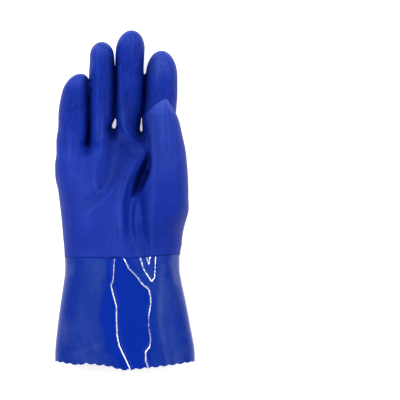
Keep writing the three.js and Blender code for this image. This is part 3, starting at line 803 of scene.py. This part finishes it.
def buildHand():
    points, quads = cutAtRim(*growHand())
    print("hand net:", len(points), "points")
    hand = makeMesh("hand", points, quads, coat)
    normals = pointNormals(points, quads)
    y = points[:, 1]
    streaks = mix(*coatLook["streakShares"], smoothStep(*coatLook["streakRun"], y))  # most on the fingers
    # the first layer holds the paler tips and painted highlights, the second the painted shade
    storeAtPoints(hand, frost=frostAt(points, normals), shade=shadeAt(points, normals), streaks=streaks)

    group = hand.vertex_groups.new(name="wall")
    lipStart, lipEnd = handBuild["lipRun"]
    lip = handBuild["lip"] / handBuild["wall"]
    share = np.round(mix(lip, 1, smoothStep(coatEdge + lipStart, coatEdge + lipEnd, y)), 2)
    for level in np.unique(share):
        group.add(np.flatnonzero(share == level).tolist(), float(level), "REPLACE")
    thicken(hand, handBuild["wall"], "wall")
    return hand


hand = buildHand()
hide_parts("hand_shell")
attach(hand, "root")
print("hand built")

# The cuff: a glossy sleeve, dished in front between two sharp crests, with a pinked hem. Its surface lies
# step under the hand's, and tuck under it inside the hand's lip, and its upper rows follow the lip's rim.
# The hem rises at both sides and a little left of its middle. pinkFade is for the rows from the hem up.
cuffBuild = dict(
    columns=345, rows=120, upperRows=(6.5, 3.5, 1.2, 0.3, -0.3), ringSteps=1440, frontDensity=1.9,
    wall=1.2, step=0.22, tuck=0.9, rimRun=(-14, -1), rimGap=0.15, creaseRun=(0, 0.6),
    hemRise=6.3, hemRisePower=1.25, hemLift=2.1, hemLiftStart=(-38, -29), hemLiftEnd=(-14, 0),
    hemLiftPower=6, pinkPitch=6.9, pinkDepth=1.2, pinkPower=0.8, pinkFade=(1, 0.6, 0.3, 0.1),
    panelDepth=1.5, panelWidth=14, panelPower=8, crestStart=2, glintRadius=0.72, frontLimit=0.3,
    wrapLength=260)
leftCrest = pixels((115.5, 250), (115.5, 258), (114, 280), (112, 286), (114.5, 296), (117.3, 306),
                   (117.3, 318), (118, 335), (120, 345), (130, 366), (133, 374))
rightCrest = pixels((122, 250), (124.5, 258), (129, 268), (137, 276), (143, 284.5), (149, 289), (151, 297),
                    (151, 304), (149, 316), (149, 327), (151, 338), (150, 346), (146, 351), (146, 360),
                    (149, 368), (150, 374))
# each crest's glint is how strong its painted highlight is along it
crests = {
    "left crest": dict(line=leftCrest, height=0.7, radius=1.1,
                       glint=(0.6, 0.85, 0.95, 1.15, 1.3, 1.15, 0.95)),
    "right crest": dict(line=rightCrest, height=0.7, radius=1.1,
                        glint=(1.1, 1.05, 1.0, 1.25, 0.85, 0.8, 0.9, 1.3, 0.9)),
    "outer fork": stroke((140, 254), (144, 269), (152, 281.5), (155, 277), (156, 252),
                         height=0.55, radius=1.0, glint=(0.95, 0.8, 1, 0.85, 0.9)),
    "inner fork": stroke((146, 254), (149, 264), (151, 254),
                         height=0.45, radius=0.9, glint=(0.9, 0.9, 0.95)),
}
# the rougher haze with painted reflection lies left of this line, and right of the right crest by rightGap
hazeShape = dict(reflectionLevel=0.5, leftEdge=(-1.2, 1.2), rightGap=3.2, rightEdge=(-1, 2.6), rightShare=0.95,
                 frontRun=(0, 0.3))
hazeEdge = pixels((109, 250), (108, 262), (107, 285), (103, 297), (100, 309), (100, 322), (105, 332),
                  (107, 349), (118, 360), (124, 374))
# painted reflections: pale streaks and patches of light on the cuff
paintedReflectionStreaks = {
    "right streak": stroke((163, 266), (161, 290), (160, 322), (168, 362), reach=2.0, share=0.2),
    "wrist patch": stroke((176, 254), (175, 264), (178, 280), reach=3.2, share=0.75),
    "left wrist": stroke((74, 260), (73, 272), reach=2.4, share=0.25),
    "hem fold": stroke((60, 350), (76, 353), (92, 347), (105, 343), reach=1.3, share=0.07),
    "left patch": stroke((63, 322), (66, 340), reach=4, share=0.09),
}


def acrossAt(y, line):
    # x of a line that runs down, at each y
    line = np.array(line)[::-1]
    return np.interp(y, line[:, 1], line[:, 0])


def hazeAt(x, y, front):
    # 0 is the clear coat, the middle level the rougher haze with painted reflection, and 1 the palest
    # painted reflection
    s = hazeShape
    left = smoothStep(*s["leftEdge"], acrossAt(y, hazeEdge) - x)
    right = smoothStep(*s["rightEdge"], x - acrossAt(y, rightCrest) - s["rightGap"]) * s["rightShare"]
    haze = s["reflectionLevel"] * np.maximum(left, right)
    fade = smoothStep(*s["frontRun"], front)  # the back and the sides get an even haze with painted reflection
    haze = mix(s["reflectionLevel"], haze, fade)
    for streak in paintedReflectionStreaks.values():
        d = lineDistance(x, y, streak["line"])[0]
        haze = haze + streak["share"] * np.exp(-((d / streak["reach"]) ** 2)) * fade
    return haze


def cuffRing(y, inset, count):
    # a ring of the sleeve at y over the coat's edge, closer set in front: x, z, length round it, how far
    # in front each point is (0 to 1), and where it is across the sleeve (-1 to 1)
    middle, half, depth = (float(v) for v in sleeveAt(np.array(float(y))))
    waist, up, down = waistAt(depth)
    angle = np.pi - np.linspace(0, 2 * np.pi, cuffBuild["ringSteps"] + 1)
    power = 2 / sleeve["roundness"]
    across = np.sign(np.cos(angle)) * np.abs(np.cos(angle)) ** power
    rise = np.sign(np.sin(angle)) * np.abs(np.sin(angle)) ** power
    x = middle + across * (half - inset)
    z = np.maximum(waist + rise * np.where(rise > 0, up - inset, down - inset), inset)
    steps = np.hypot(np.diff(x), np.diff(z))
    arc = np.concatenate([[0], np.cumsum(steps)])
    density = np.where(angle[:-1] > 0, cuffBuild["frontDensity"], 1)
    weighted = np.concatenate([[0], np.cumsum(steps * density)])
    at = np.interp(np.arange(count) / count * weighted[-1], weighted, np.arange(len(angle)))
    pick = lambda v: np.interp(at, np.arange(len(angle)), v)
    front = np.clip((pick(z) - waist) / (up - inset), 0, 1)
    return pick(x), pick(z), pick(arc), front, (pick(x) - middle) / half


def creaseFront(x, y, z, front, below):
    # dishes the front between its two crests, raises all crests, and says where their painted glints lie
    c = cuffBuild
    inFront = front > c["frontLimit"]
    left, right = acrossAt(y, leftCrest), acrossAt(y, rightCrest)
    share = np.clip((x - (left + right) / 2) / ((right - left) / 2), -1, 1)
    dish = c["panelDepth"] * np.minimum(1, (right - left) / c["panelWidth"])
    z = z - dish * (1 - share ** c["panelPower"]) * inFront
    glint = np.zeros(len(x))
    for crest in crests.values():
        d, along = lineDistance(x, y, crest["line"])[:2]
        raised = np.exp(-((d / crest["radius"]) ** 2)) * inFront * min(1, below / c["crestStart"])
        z = z + crest["height"] * raised
        strength = valueAlong(along, crest["glint"])
        glint = np.maximum(glint, np.exp(-((d / c["glintRadius"]) ** 2)) * strength * inFront)
    return z, glint


def pinkHem(rings):
    # scallops round the last ring, which the rings over it follow less and less
    c = cuffBuild
    last = rings[-1]
    steps = np.linalg.norm(np.diff(np.vstack([last, last[:1]]), axis=0), axis=1)
    around = np.concatenate([[0], np.cumsum(steps)[:-1]])
    pinks = round(steps.sum() / c["pinkPitch"])
    wave = np.abs(np.sin(np.pi * pinks * around / steps.sum())) ** c["pinkPower"]
    for i, share in enumerate(c["pinkFade"]):
        rings[-1 - i][:, 1] += c["pinkDepth"] * (1 - wave) * share


def buildCuff():
    c = cuffBuild
    count = c["columns"]
    levels = list(c["upperRows"])
    start = -levels[-1]
    levels += [-(start + (cuffLength - start) * i / c["rows"]) for i in range(1, c["rows"] + 1)]
    rings, arcs, glints, hazes = [], [], [], []
    for level in levels:
        x, z, arc, front, across = cuffRing(level, c["tuck"] if level > 0 else c["step"], count)
        y = level + coatEdge + (rimAt(x, z) - coatEdge - c["rimGap"]) * smoothStep(*c["rimRun"], level)
        down = max(0, -level / cuffLength)
        y = y + c["hemRise"] * np.abs(across) ** c["hemRisePower"] * down
        lifted = smoothStep(*c["hemLiftStart"], x) - smoothStep(*c["hemLiftEnd"], x)
        y = y + c["hemLift"] * lifted * down ** c["hemLiftPower"]
        pressed = foldDepth(x, y, palmFolds) + creaseDepth(x, y)
        z = z - pressed * smoothStep(*c["creaseRun"], front)
        glint = np.zeros(count)
        if level <= 0:
            z, glint = creaseFront(x, y, z, front, -level)
        rings.append(np.stack([x, y, z], 1))
        arcs.append(arc)
        glints.append(glint)
        hazes.append(hazeAt(x, y, front))
    pinkHem(rings)

    points = np.concatenate(rings)
    i, j = np.meshgrid(np.arange(len(rings) - 1), np.arange(count), indexing="ij")
    k = (j + 1) % count
    corners = [i * count + j, (i + 1) * count + j, (i + 1) * count + k, i * count + k]
    quads = np.stack(corners, -1).reshape(-1, 4)
    cuff = makeMesh("cuff", points, quads, gloss)
    # the first layer holds the painted glints along the crests, the second the rougher haze with its
    # painted reflection
    storeAtPoints(cuff, crease=np.concatenate(glints), haze=np.concatenate(hazes))
    wrap = np.stack([np.concatenate(arcs)[quads], points[quads, 1]], -1)
    wrap[(j == count - 1).reshape(-1), 2:, 0] += c["wrapLength"]  # the last column closes the ring
    uv = cuff.data.uv_layers.new(name="wrap")
    uv.data.foreach_set("uv", (wrap * millimetre).reshape(-1))
    thicken(cuff, c["wall"])
    return cuff


cuff = buildCuff()
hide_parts("gauntlet_cuff")
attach(cuff, "root")
print("cuff built")

# floor, light and camera: a pale table under a light tent, with the key light at the upper left
studio = dict(floor=(0.82, 0.82, 0.82), floorRoughness=0.9, floorGlow=0.62, floorReach=4,
              tentTop=0.62, tentSides=0.3, tentRise=(0.25, 0.7), lens=280.7, cameraPlace=(0.05965, 0, 2.5))
lamps = {
    "key": dict(place=(-0.65, 0.42, 1.15), size=(0.8, 0.8), power=12.2),
    "fill": dict(place=(0.8, 0.2, 1.1), size=(0.5, 0.7), power=5.8),
    "rim": dict(place=(0.05, 0.85, 0.4), size=(0.9, 0.2), power=1.2),
}


def buildFloor():
    r = studio["floorReach"]
    mesh = bpy.data.meshes.new("floor")
    mesh.from_pydata([(-r, -r, 0), (r, -r, 0), (r, r, 0), (-r, r, 0)], [], [(0, 1, 2, 3)])
    floor = bpy.data.objects.new("floor", mesh)
    bpy.context.scene.collection.objects.link(floor)
    material, *_, shader = newMaterial("paleFloor")
    shader.inputs["Base Color"].default_value = (*studio["floor"], 1)
    shader.inputs["Roughness"].default_value = studio["floorRoughness"]
    shader.inputs["Emission Color"].default_value = (1, 1, 1, 1)
    shader.inputs["Emission Strength"].default_value = studio["floorGlow"]
    mesh.materials.append(material)


def buildTent():
    # white all round, brighter overhead
    world = bpy.data.worlds.new("studio")
    bpy.context.scene.world = world
    world.use_nodes = True
    nodes, links = world.node_tree.nodes, world.node_tree.links
    direction = addNode(nodes, "ShaderNodeSeparateXYZ")
    links.new(addNode(nodes, "ShaderNodeTexCoord").outputs["Generated"], direction.inputs["Vector"])
    low, high = studio["tentRise"]
    rise = {"From Min": low, "From Max": high, "To Min": studio["tentSides"], "To Max": studio["tentTop"]}
    fade = addNode(nodes, "ShaderNodeMapRange", rise, interpolation_type="SMOOTHSTEP")
    links.new(direction.outputs["Z"], fade.inputs["Value"])
    links.new(fade.outputs["Result"], nodes["Background"].inputs["Strength"])
    nodes["Background"].inputs["Color"].default_value = (1, 1, 1, 1)


def addLamp(name, place, size, power):
    # a soft lamp turned to the glove
    light = bpy.data.lights.new(name, "AREA")
    light.shape = "RECTANGLE"
    light.size, light.size_y = size
    light.energy = power
    lamp = bpy.data.objects.new(name, light)
    bpy.context.scene.collection.objects.link(lamp)
    lamp.location = place
    yaw = math.atan2(-place[0], place[1])
    pitch = math.acos(place[2] / math.hypot(*place))
    lamp.rotation_euler = (pitch, 0, yaw + math.pi)


def addCamera():
    cameraData = bpy.data.cameras.new("camera")
    cameraData.lens = studio["lens"]
    camera = bpy.data.objects.new("camera", cameraData)
    camera.location = studio["cameraPlace"]
    bpy.context.scene.collection.objects.link(camera)
    bpy.context.scene.camera = camera
    bpy.context.scene.view_settings.view_transform = "Standard"


buildFloor()
buildTent()
for name, lamp in lamps.items():
    addLamp(name, **lamp)
addCamera()
print("studio built")
